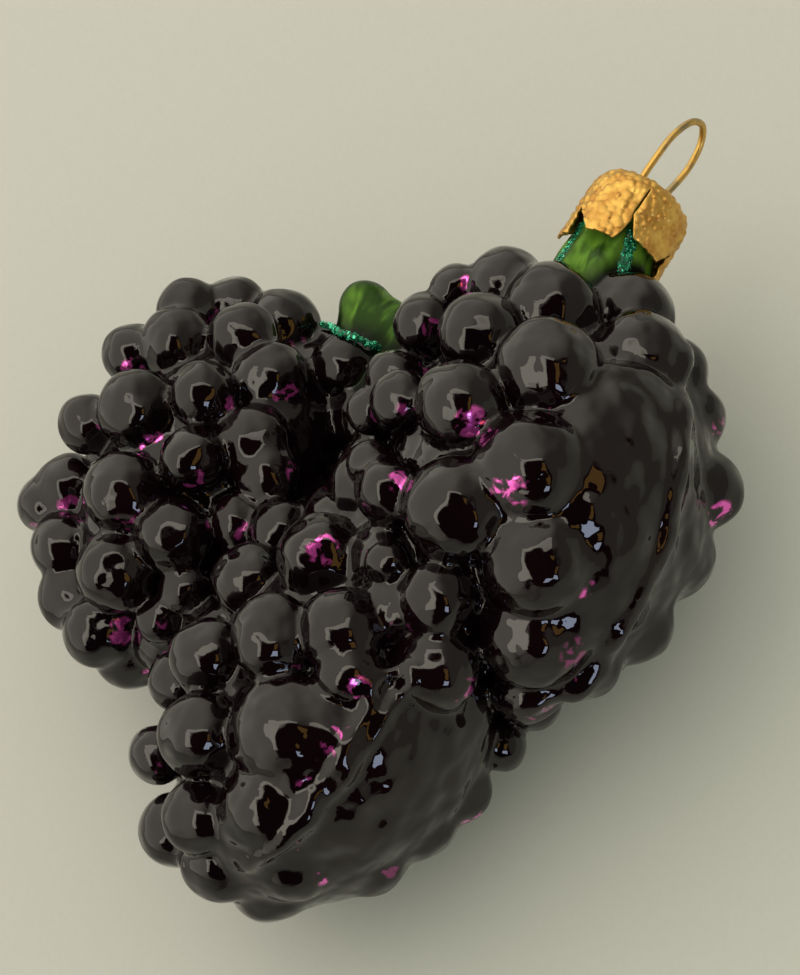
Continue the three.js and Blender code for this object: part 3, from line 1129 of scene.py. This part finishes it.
def glitter_tree() -> NodeTree:
    """Makes the tree that scatters tilted six-sided flakes over a bed of glue.

    Returns:
        The tree.
    """
    tree, add, given = new_tree("glitter_flakes", Density="Float", Radius="Float", Seed="Int",
                                Glue="Material", Flake="Material")
    spots = add("GeometryNodeDistributePointsOnFaces", {
        "Mesh": given["Geometry"], "Density": given["Density"], "Seed": given["Seed"]})
    lean, spin = 0.7, 6.28  # the most that a flake leans from the glue and is spun, in radians
    least, most = 0.65, 1.25  # sizes of the flakes, in the tree's radius
    thickness = 0.3  # of a flake, in radii
    tilt = add("FunctionNodeRandomValue",
               {0: (-lean, -lean, 0.0), 1: (lean, lean, spin), "Seed": given["Seed"]},
               data_type="FLOAT_VECTOR")
    turned = add("FunctionNodeRotateRotation", {"Rotation": spots.outputs["Rotation"], "Rotate By": tilt},
                 rotation_space="LOCAL")
    size = add("FunctionNodeRandomValue", {2: least, 3: most}, data_type="FLOAT")
    depth = add(MATH, {0: given["Radius"], 1: thickness}, operation="MULTIPLY")
    flake = add("GeometryNodeMeshCylinder", {"Vertices": 6, "Radius": given["Radius"], "Depth": depth})
    flakes = add("GeometryNodeInstanceOnPoints", {
        "Points": spots, "Instance": flake, "Rotation": turned, "Scale": size})
    tone = add("FunctionNodeRandomValue", {2: 0.0, 3: 1.0, "Seed": 3}, data_type="FLOAT")
    toned = add("GeometryNodeStoreNamedAttribute", {"Geometry": flakes, "Name": "tone", "Value": tone},
                data_type="FLOAT", domain="INSTANCE")
    loose = add("GeometryNodeRealizeInstances", {"Geometry": toned})
    both = add("GeometryNodeJoinGeometry")
    for part, finish in ((loose, "Flake"), (given["Geometry"], "Glue")):
        dressed = add("GeometryNodeSetMaterial", {"Geometry": part, "Material": given[finish]})
        feed(both.inputs["Geometry"], dressed)
    add("NodeGroupOutput", {"Geometry": both})
    return tree


@dataclass(frozen=True)
class GlitterLines:
    """Lines of glitter shaken over wet glue: four along the stem's grooves and one round the stump's foot."""

    turns: tuple[float, ...] = (45.0, 135.0, -135.0, -45.0)
    bottom: float = 32.2
    top: float = 37.4
    end_taper: float = 0.5
    width: float = 1.35
    glue_height: float = 0.3
    glue_proud: float = 0.02  # of the glue's edge above the glass
    glue_depth: float = 0.15  # of the glue's underside in the glass
    flakes_per_mm2: float = 20.0
    flake_radius: float = 0.13
    stump_line: tuple[Triple, ...] = (
        (-15.4, 22.5, 1.8), (-13.7, 22.0, 3.1), (-10.9, 20.5, 6.0), (-9.0, 20.3, 6.1), (-8.0, 20.3, 5.3),
        (-7.1, 20.6, 3.9),
    )
    stump_radius: float = 0.3
    stump_flake: float = 0.2
    stem: Stem = Stem()
    columns: int = 9
    rows: int = 26

    def _stripe_bed(self, turn: float) -> tuple[np.ndarray, list[tuple[int, ...]]]:
        """Shapes a closed, crowned strip of glue on the stem.

        Args:
            turn: Where the strip stands round the neck, in degrees.

        Returns:
            Its corners, and the corner numbers of each face.
        """
        across = np.linspace(-1, 1, self.columns)
        share, height = np.meshgrid(across, np.linspace(self.bottom, self.top, self.rows))
        # the glue's edge wavers by a seventh and a tenth of its width
        ragged = 1.0 + 0.14 * np.sin(5.1 * height + turn) + 0.1 * np.sin(11.3 * height)
        side = share * self.width / 2 * ragged
        ends = smooth(height, self.bottom, self.bottom + self.end_taper)
        ends = ends * smooth(self.top - height, 0.0, self.end_taper)
        crown = self.glue_height * (1 - share**2) * ends
        middle = np.full_like(height, math.radians(turn))
        angle = middle + side / self.stem.radius_at(middle, height)
        sheets = []
        for rise in (crown + self.glue_proud, np.full_like(crown, -self.glue_depth)):
            radius = self.stem.radius_at(angle, height) + rise
            sheets.append(np.stack([radius * np.sin(angle) + MOULD.neck_x, height,
                                    radius * np.cos(angle) + MOULD.neck_z], axis=-1).reshape(-1, 3))
        number = np.arange(share.size).reshape(share.shape)
        cells = [number[:-1, :-1], number[:-1, 1:], number[1:, 1:], number[1:, :-1]]
        outer = np.stack(cells, axis=-1).reshape(-1, 4)
        edge = [*number[0], *number[1:, -1], *number[-1, -2::-1], *number[-2:0:-1, 0]]
        below = share.size
        rim = [(a, a + below, b + below, b) for a, b in zip(edge, [*edge[1:], edge[0]])]
        return np.concatenate(sheets), [*outer.tolist(), *(outer[:, ::-1] + below).tolist(), *rim]

    def build(self, glue: Material, flake: Material) -> list[Object]:
        """Lays every line of glue and scatters its flakes.

        Args:
            glue: Finish of the glue.
            flake: Finish of the flakes.

        Returns:
            One piece for each line.
        """
        beds = []
        for number, turn in enumerate(self.turns, start=1):
            points, faces = self._stripe_bed(turn)
            piece = mesh_object(f"stem_glitter_{number}", MOULD.to_frame(points), faces)
            beds.append((piece, self.flake_radius, f"glitter_stripe_{number}"))
        piece = draw_wire("stump_glitter", spline(np.array(self.stump_line)), self.stump_radius, glue)
        beds.append((piece, self.stump_flake, "glitter_knob_line"))
        tree = glitter_tree()
        for seed, (piece, radius, node) in enumerate(beds):
            density = self.flakes_per_mm2 / MM**2 * (self.flake_radius / radius)**2
            run_tree(piece, tree, Density=density, Radius=radius * MM, Seed=seed, Glue=glue, Flake=flake)
            mount(piece, "glitter", node)
        return [piece for piece, _, _ in beds]


# ---- finishes ----
NOISE = "ShaderNodeTexNoise"
NAMED = "ShaderNodeAttribute"
VECTOR = "ShaderNodeVectorMath"
BUMP = "ShaderNodeBump"
MATH = "ShaderNodeMath"
STEP = "ShaderNodeMapRange"  # 0: value, 1 and 2: its ends, 3 and 4: what they become
BLEND = "ShaderNodeMix"  # 0: share, 6 and 7: the two colours
SMOOTH = {"interpolation_type": "SMOOTHSTEP"}
COLOUR = {"data_type": "RGBA"}


def new_finish(name: str) -> tuple[Material, Callable[..., Node], Node, NodeSocket]:
    """Starts a material.

    Args:
        name: Name of the material.

    Returns:
        The material, what adds a node to its tree, its shader and the object coordinates.
    """
    material = bpy.data.materials.new(name)
    material.use_nodes = True
    add = partial(add_node, material.node_tree)
    place = add("ShaderNodeTexCoord").outputs["Object"]
    return material, add, material.node_tree.nodes["Principled BSDF"], place


def set_values(shader: Node, **values: object) -> None:
    """Sets or links a shader's sockets, whose names are given with _ for each space."""
    for name, value in values.items():
        feed(shader.inputs[name.replace("_", " ")], value)


def scale_of(size_mm: float) -> float:
    """Gives the scale of noise whose blobs are about a size in millimetres across."""
    return 1 / (size_mm * MM)


@dataclass(frozen=True)
class LacqueredGlass:
    """Blown glass, silvered inside and sprayed outside with transparent lacquer, so it looks wet and deep.

    Plum black lacquer covers the berries. Each drupelet has magenta glints painted on its flank away from the
    key lamp, where the glass is also made metallic. Leaf green lacquer covers the stem and the stump, satin,
    and is darker at their feet with painted shade and plum overspray.
    """

    plum: str = "#050304"
    plum_warm: str = "#14070b"
    # painted glints: muted and bright magenta that stand in for light glowing through the lacquer
    glint_plum: str = "#86306a"
    brightest_glint_plum: str = "#f262cc"
    leaf: str = "#6b9a34"
    leaf_shade: str = "#263f14"
    # painted shade, partly plum overspray, where the green meets the berries
    leaf_foot_shade: str = "#0a1205"
    tint_mm: float = 7.0
    patch_mm: float = 1.3
    brush_mm: float = 1.9
    waves_mm: float = 3.0
    wave_height_mm: float = 0.8  # over the noise's whole range, of which it only uses the middle
    leaf_edge: float = 0.25  # half the width of the line where the green meets the plum, in millimetres
    patch_edges: Pair = (0.4, 0.62)  # of the noise that breaks up the painted glints
    glint_edges: Pair = (0.12, 0.75)  # where a painted glint starts and where it's at its brightest
    stroke_edges: Pair = (0.3, 0.64)  # of the noise that lays the brush strokes
    stump_shade: float = 0.13  # how far the stump's strokes fall towards the darker green
    foot_shade_reach: Pair = (0.3, 2.8)  # where the painted shade at the green's foot is darkest and where it ends, in millimetres
    glint_silver: float = 0.85  # share of metal at the brightest painted glints
    leaf_silver: float = 0.35
    roughness: Pair = (0.18, 0.4)  # of the plum and of the green
    coat: Pair = (1.0, 0.18)  # weight of the gloss on the plum and on the green

    def build(self) -> Material:
        """Makes the material.

        Returns:
            The material.
        """
        material, add, shader, place = new_finish("lacquered_silvered_glass")
        lead, paler_patch, stump = [add(NAMED, attribute_name=name).outputs["Fac"]
                             for name in ("leaf_lead", "paler_patch", "stump")]
        leaf = add(STEP, {0: lead, 1: -self.leaf_edge, 2: self.leaf_edge}, **SMOOTH)
        # plum, with the painted magenta glints
        glint_breakup = add(NOISE, {"Vector": place, "Scale": scale_of(self.patch_mm), "Distortion": 0.5})
        glint_breakup = add(STEP, {0: glint_breakup, 1: self.patch_edges[0], 2: self.patch_edges[1]}, **SMOOTH)
        paler_patch = add(MATH, {0: paler_patch, 1: glint_breakup}, operation="MULTIPLY")
        paler_patch = add(STEP, {0: paler_patch, 1: self.glint_edges[0], 2: self.glint_edges[1]}, **SMOOTH)
        tint = add(NOISE, {"Vector": place, "Scale": scale_of(self.tint_mm)})
        plum = add(BLEND, {0: tint, 6: self.plum, 7: self.plum_warm}, **COLOUR)
        for start, end, colour in ((0.0, 0.55, self.glint_plum), (0.6, 1.0, self.brightest_glint_plum)):
            share = add(STEP, {0: paler_patch, 1: start, 2: end}, **SMOOTH)
            plum = add(BLEND, {0: share, 6: plum, 7: colour}, **COLOUR)
        # green, in strokes along the stem
        along = add(VECTOR, {0: place, 1: (1.0, 0.4, 1.0)}, operation="MULTIPLY")
        strokes = add(NOISE, {"Vector": along, "Scale": scale_of(self.brush_mm), "Distortion": 0.4})
        stump = add(MATH, {0: stump, 1: self.stump_shade}, operation="MULTIPLY")
        strokes = add(MATH, {0: strokes, 1: stump}, operation="SUBTRACT")
        strokes = add(STEP, {0: strokes, 1: self.stroke_edges[0], 2: self.stroke_edges[1]}, **SMOOTH)
        green = add(BLEND, {0: strokes, 6: self.leaf_shade, 7: self.leaf}, **COLOUR)
        # painted shade, partly plum overspray, darkens the green near the berries
        grown = add(STEP, {0: lead, 1: self.foot_shade_reach[0], 2: self.foot_shade_reach[1]}, **SMOOTH)
        green = add(BLEND, {0: grown, 6: self.leaf_foot_shade, 7: green}, **COLOUR)
        # the silver shows as metal under the painted glints, and a little through the green
        glint_metal, dull = (add(MATH, {0: share, 1: most}, operation="MULTIPLY") for share, most in
                      ((paler_patch, self.glint_silver), (leaf, self.leaf_silver)))
        waves = add(NOISE, {"Vector": place, "Scale": scale_of(self.waves_mm), "Detail": 0.6})
        blown = add(BUMP, {"Height": waves, "Strength": 1.0, "Distance": self.wave_height_mm * MM})
        set_values(
            shader, Base_Color=add(BLEND, {0: leaf, 6: plum, 7: green}, **COLOUR),
            Metallic=add(MATH, {0: glint_metal, 1: dull}, operation="MAXIMUM"),
            Roughness=add(STEP, {0: leaf, 3: self.roughness[0], 4: self.roughness[1]}, **SMOOTH),
            Specular_IOR_Level=0.0,
            Coat_Weight=add(STEP, {0: leaf, 3: self.coat[0], 4: self.coat[1]}, **SMOOTH),
            Coat_Roughness=0.015, Coat_IOR=1.46, Normal=blown, Coat_Normal=blown)
        return material


@dataclass(frozen=True)
class GiltFoil:
    """Thin brass foil with a gold lacquer, stamped in a pebbled die: bright humps and brown dents."""

    gold: str = "#e0b65f"
    shade: str = "#c39047"
    patina_mm: float = 1.4
    crumple_mm: float = 0.5
    crumple_height_mm: float = 0.12
    roughness: Pair = (0.36, 0.5)

    def build(self) -> Material:
        """Makes the material.

        Returns:
            The material.
        """
        material, add, shader, place = new_finish("gilt_brass_foil")
        patina = add(NOISE, {"Vector": place, "Scale": scale_of(self.patina_mm), "Detail": 3.0})
        patina = add(STEP, {0: patina, 1: 0.3, 2: 0.7}, **SMOOTH)
        crumple = add(NOISE, {"Vector": place, "Scale": scale_of(self.crumple_mm)})
        relief = add(BUMP, {"Height": crumple, "Strength": 0.3, "Distance": self.crumple_height_mm * MM})
        set_values(
            shader, Base_Color=add(BLEND, {0: patina, 6: self.shade, 7: self.gold}, **COLOUR), Metallic=1.0,
            Roughness=add(STEP, {
                0: crumple, 1: 0.3, 2: 0.7, 3: self.roughness[0], 4: self.roughness[1]}, **SMOOTH),
            Normal=relief)
        return material


@dataclass(frozen=True)
class GiltWire:
    """Drawn steel wire, brass plated: smooth and satin, worn grey in places along the loop."""

    gold: str = "#cfa75a"
    worn: str = "#9c8a66"
    wear_mm: float = 3.0
    draw_mm: float = 0.25  # coarser than the real die lines, so that they show
    roughness: Pair = (0.25, 0.42)

    def build(self) -> Material:
        """Makes the material.

        Returns:
            The material.
        """
        material, add, shader, place = new_finish("brass_plated_wire")
        wear = add(NOISE, {"Vector": place, "Scale": scale_of(self.wear_mm), "Detail": 3.0})
        wear = add(STEP, {0: wear, 1: 0.45, 2: 0.65}, **SMOOTH)
        lines = add(NOISE, {"Vector": place, "Scale": scale_of(self.draw_mm)})
        set_values(
            shader, Base_Color=add(BLEND, {0: wear, 6: self.gold, 7: self.worn}, **COLOUR), Metallic=1.0,
            Roughness=add(STEP, {
                0: lines, 1: 0.2, 2: 0.8, 3: self.roughness[0], 4: self.roughness[1]}, **SMOOTH))
        return material


@dataclass(frozen=True)
class GlitterFlake:
    """Six-sided flakes cut from metallised film with a teal lacquer: each one a small mirror."""

    bright: str = "#5fe0b4"
    deep: str = "#0c7a52"
    roughness: Pair = (0.35, 0.18)

    def build(self) -> Material:
        """Makes the material.

        Returns:
            The material.
        """
        material, add, shader, _ = new_finish("teal_metallised_film")
        tone = add(NAMED, attribute_name="tone").outputs["Fac"]
        set_values(
            shader, Base_Color=add(BLEND, {0: tone, 6: self.deep, 7: self.bright}, **COLOUR), Metallic=0.8,
            Roughness=add(STEP, {0: tone, 3: self.roughness[0], 4: self.roughness[1]}, **SMOOTH))
        return material


@dataclass(frozen=True)
class GlitterGlue:
    """Clear craft glue that dried glassy over the lacquer and took on the flakes' dark teal."""

    deep: str = "#0b3d2c"
    paler_patch: str = "#14583f"
    pool_mm: float = 0.6
    roughness: Pair = (0.15, 0.35)

    def build(self) -> Material:
        """Makes the material.

        Returns:
            The material.
        """
        material, add, shader, place = new_finish("clear_glue")
        pools = add(NOISE, {"Vector": place, "Scale": scale_of(self.pool_mm)})
        set_values(
            shader, Base_Color=add(BLEND, {0: pools, 6: self.deep, 7: self.paler_patch}, **COLOUR),
            Roughness=add(STEP, {
                0: pools, 1: 0.3, 2: 0.7, 3: self.roughness[0], 4: self.roughness[1]}, **SMOOTH))
        return material


@dataclass(frozen=True)
class DrawingPaper:
    """Matt, slightly warm uncoated paper with a fine felt grain."""

    sheet: str = "#cbccc5"
    sheet_shade: str = "#c5c7bf"
    grain_mm: float = 0.5
    grain_height_mm: float = 0.05

    def build(self) -> Material:
        """Makes the material.

        Returns:
            The material.
        """
        material, add, shader, place = new_finish("uncoated_paper")
        grain = add(NOISE, {"Vector": place, "Scale": scale_of(self.grain_mm), "Detail": 3.0})
        relief = add(BUMP, {"Height": grain, "Strength": 0.1, "Distance": self.grain_height_mm * MM})
        set_values(
            shader, Base_Color=add(BLEND, {0: grain, 6: self.sheet_shade, 7: self.sheet}, **COLOUR),
            Roughness=0.95, Specular_IOR_Level=0.1, Normal=relief)
        return material


# ---- the table, the light and the camera ----
@dataclass(frozen=True)
class Panel:
    """A dim card of light, placed by degrees right of and above the camera as the ornament sees it."""

    right: float
    above: float
    width: float
    height: float
    radiance: float
    colour: str


@dataclass(frozen=True)
class Studio:
    """A sheet of paper in a pale room, one soft key lamp and a camera that looks down on the ornament."""

    target: Triple = (-0.17, 7.04, 2.29)  # where the camera looks, in the mould
    turn: float = 57.0  # of the camera about the paper's upright
    height: float = 60.0  # of the camera above the paper, in degrees
    distance: float = 320.0
    roll: float = 69.36  # from the camera's level to the neck
    lens: float = 118.15
    sensor: float = 36.0
    paper_side: float = 6.0
    paper_drop: float = 0.0002  # keeps it clear of what lies on it
    key_towards: Triple = (-0.51, 0.10, 0.855)
    key_distance: float = 0.5
    key_side: float = 0.55
    key_power: float = 0.9
    key_colour: str = "#ffe8de"
    fill_height: float = 1.2
    fill_side: float = 1.6
    fill_power: float = 2.2
    fill_colour: str = "#fff4ea"
    room: str = "#747269"
    room_left: str = "#e6e0d1"
    room_edges: Pair = (0.3, -0.75)  # where the room is dim and where bright
    room_lean: float = 0.45  # how much brighter it is above
    room_strength: float = 1.9
    ambient: str = "#a2a398"  # of the room where it only lights
    backdrop: str = "#a9a79c"
    card: str = "#060505"
    card_torn: float = 5.0  # scale of its ragged edge
    card_ragged: float = 0.7
    card_edges: Pair = (0.85, 1.1)  # where it ends and where the room is clear
    dark_card: tuple[float, float, float, float] = (6.0, -19.0, 34.0, 42.0)  # middle, half width and height
    panel_distance: float = 0.6
    panels: tuple[Panel, ...] = (
        Panel(-6, 27, 50, 10, 3.4, "#d8d2c2"),
        Panel(-31, -6, 12, 50, 3.6, "#d8d2c2"),
        Panel(25, -3, 10, 26, 2.6, "#b78a48"),
        Panel(25, -33, 14, 17, 7.0, "#d5e2ff"),
    )

    def axes(self) -> tuple[Vector, Vector, Vector]:
        """Works out how the camera is turned.

        Returns:
            The camera's right, its up and the way back to it.
        """
        turn, height, roll = (math.radians(angle) for angle in (self.turn, self.height, self.roll))
        level = math.cos(height)
        back = Vector((math.sin(turn) * level, -math.cos(turn) * level, math.sin(height)))
        neck = Vector((0.0, 1.0, 0.0))
        flat = (neck - neck.dot(back) * back).normalized()
        right = flat * math.cos(roll) + flat.cross(back) * math.sin(roll)
        return right, back.cross(right), back

    def way(self, right: float, above: float) -> Vector:
        """Finds a direction from the ornament.

        Args:
            right: Degrees right of the camera.
            above: Degrees above the camera.

        Returns:
            The unit direction.
        """
        across, up, back = self.axes()
        aside, high = (math.tan(math.radians(angle)) for angle in (right, above))
        return (back + across * aside + up * high).normalized()

    def camera(self) -> None:
        """Sets the camera above the ornament, rolled so that the neck points to the upper right."""
        right, up, back = self.axes()
        target = Vector(MOULD.to_frame(np.array(self.target)))
        data = bpy.data.cameras.new("camera")
        data.lens = self.lens
        data.sensor_width = self.sensor
        data.clip_start = 0.01
        data.clip_end = 50.0
        camera = bpy.data.objects.new("camera", data)
        turned = Matrix((right, up, back)).transposed().to_4x4()
        camera.matrix_world = Matrix.Translation(target + back * self.distance * MM) @ turned
        bpy.context.scene.collection.objects.link(camera)
        bpy.context.scene.camera = camera

    def lamp(self, name: str, towards: Vector, distance: float, size: Pair,
             power: float, colour: str) -> Object:
        """Adds one soft panel of light.

        Args:
            name: Name of the lamp.
            towards: Direction from the ornament to the panel.
            distance: How far off the panel is, in metres.
            size: Width and height of the panel, in metres.
            power: Light given off, in watts.
            colour: Its colour.

        Returns:
            The lamp.
        """
        data = bpy.data.lights.new(name, "AREA")
        data.shape = "RECTANGLE"
        data.size, data.size_y = size
        data.energy = power
        data.color = linear(colour)[:3]
        lamp = bpy.data.objects.new(name, data)
        back = towards.normalized()
        across = self.axes()[1].cross(back).normalized()
        turned = Matrix((across, back.cross(across), back)).transposed().to_4x4()
        lamp.matrix_world = Matrix.Translation(back * distance) @ turned
        lamp.visible_camera = False
        bpy.context.scene.collection.objects.link(lamp)
        return lamp

    def lamps(self) -> None:
        """Hangs the key and the fill, which only light, and the dim panels, which only the gloss shows."""
        key = self.lamp("key", Vector(self.key_towards), self.key_distance, (self.key_side, self.key_side),
                        self.key_power, self.key_colour)
        fill = self.lamp("fill", Vector((0.0, 0.0, 1.0)), self.fill_height, (self.fill_side, self.fill_side),
                         self.fill_power, self.fill_colour)
        key.visible_glossy = fill.visible_glossy = False
        reach = self.panel_distance
        for number, panel in enumerate(self.panels, start=1):
            wide, high = (2 * reach * math.tan(math.radians(side / 2))
                          for side in (panel.width, panel.height))
            card = self.lamp(f"panel_{number}", self.way(panel.right, panel.above), reach, (wide, high),
                             panel.radiance * math.pi * wide * high, panel.colour)
            card.visible_diffuse = False

    def world(self) -> None:
        """Makes the even room, which in the gloss is brighter on the left with a dark card by the camera."""
        world = bpy.data.worlds.new("room")
        bpy.context.scene.world = world
        world.use_nodes = True
        add = partial(add_node, world.node_tree)
        ways = add("ShaderNodeTexCoord").outputs["Generated"]
        right, above, *halves = self.dark_card
        middle = self.way(right, above)
        across = self.axes()[1].cross(middle).normalized()
        ahead, *off = (add(VECTOR, {0: ways, 1: axis}, operation="DOT_PRODUCT")
                       for axis in (middle, across, middle.cross(across)))
        # how far off the card's middle a way is, in cards each way
        ahead = add(MATH, {0: ahead, 1: 0.001}, operation="MAXIMUM")
        shares = []
        for value, half in zip(off, halves):
            size = add(MATH, {0: value}, operation="ABSOLUTE")
            size = add(MATH, {0: size, 1: ahead}, operation="DIVIDE")
            shares.append(add(MATH, {0: size, 1: 1 / math.tan(math.radians(half))}, operation="MULTIPLY"))
        ragged = add(NOISE, {"Vector": ways, "Scale": self.card_torn})
        ragged = add(MATH, {0: ragged, 1: self.card_ragged}, operation="MULTIPLY")
        edge = add(MATH, dict(enumerate(shares)), operation="MAXIMUM")
        edge = add(MATH, {0: edge, 1: ragged}, operation="ADD")
        ends, clears = (mark + self.card_ragged / 2 for mark in self.card_edges)
        outside = add(STEP, {0: edge, 1: ends, 2: clears}, **SMOOTH)
        # the room, brighter to the left and above
        side, up = off
        up = add(MATH, {0: up, 1: self.room_lean}, operation="MULTIPLY")
        lean = add(MATH, {0: side, 1: up}, operation="SUBTRACT")
        lean = add(STEP, {0: lean, 1: self.room_edges[0], 2: self.room_edges[1]}, **SMOOTH)
        pale = add(BLEND, {0: lean, 6: self.room, 7: self.room_left}, **COLOUR)
        mirrored = add(BLEND, {0: outside, 6: self.card, 7: pale}, **COLOUR)
        ray = add("ShaderNodeLightPath").outputs
        room = add(BLEND, {0: ray["Is Glossy Ray"], 6: self.ambient, 7: mirrored}, **COLOUR)
        room = add(BLEND, {0: ray["Is Camera Ray"], 6: room, 7: self.backdrop}, **COLOUR)
        set_values(world.node_tree.nodes["Background"], Color=room, Strength=self.room_strength)

    def build(self) -> None:
        """Makes the camera, the paper, the room and the lamps."""
        self.camera()
        ways = np.array([(-1, -1, 0), (1, -1, 0), (1, 1, 0), (-1, 1, 0)])
        corners = ways * self.paper_side / 2 - [0.0, 0.0, self.paper_drop]
        mesh_object("paper_top", corners, [(0, 1, 2, 3)], DrawingPaper().build())
        self.world()
        self.lamps()
        bpy.context.scene.view_settings.view_transform = "Standard"


def main() -> None:
    """Builds the ornament and its studio, and reports each piece."""
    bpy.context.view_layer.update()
    Studio().build()
    pieces = [
        GlassShell().build(LacqueredGlass().build()),
        FoilCap().build(GiltFoil().build()),
        HangerWire().build(GiltWire().build()),
        *GlitterLines().build(GlitterGlue().build(), GlitterFlake().build()),
    ]
    for piece in pieces:
        LOG.info("%s has %d faces", piece.name, len(piece.data.polygons))


if __name__ == "__main__":
    logging.basicConfig(level=logging.INFO, format="%(name)s: %(message)s")
    main()
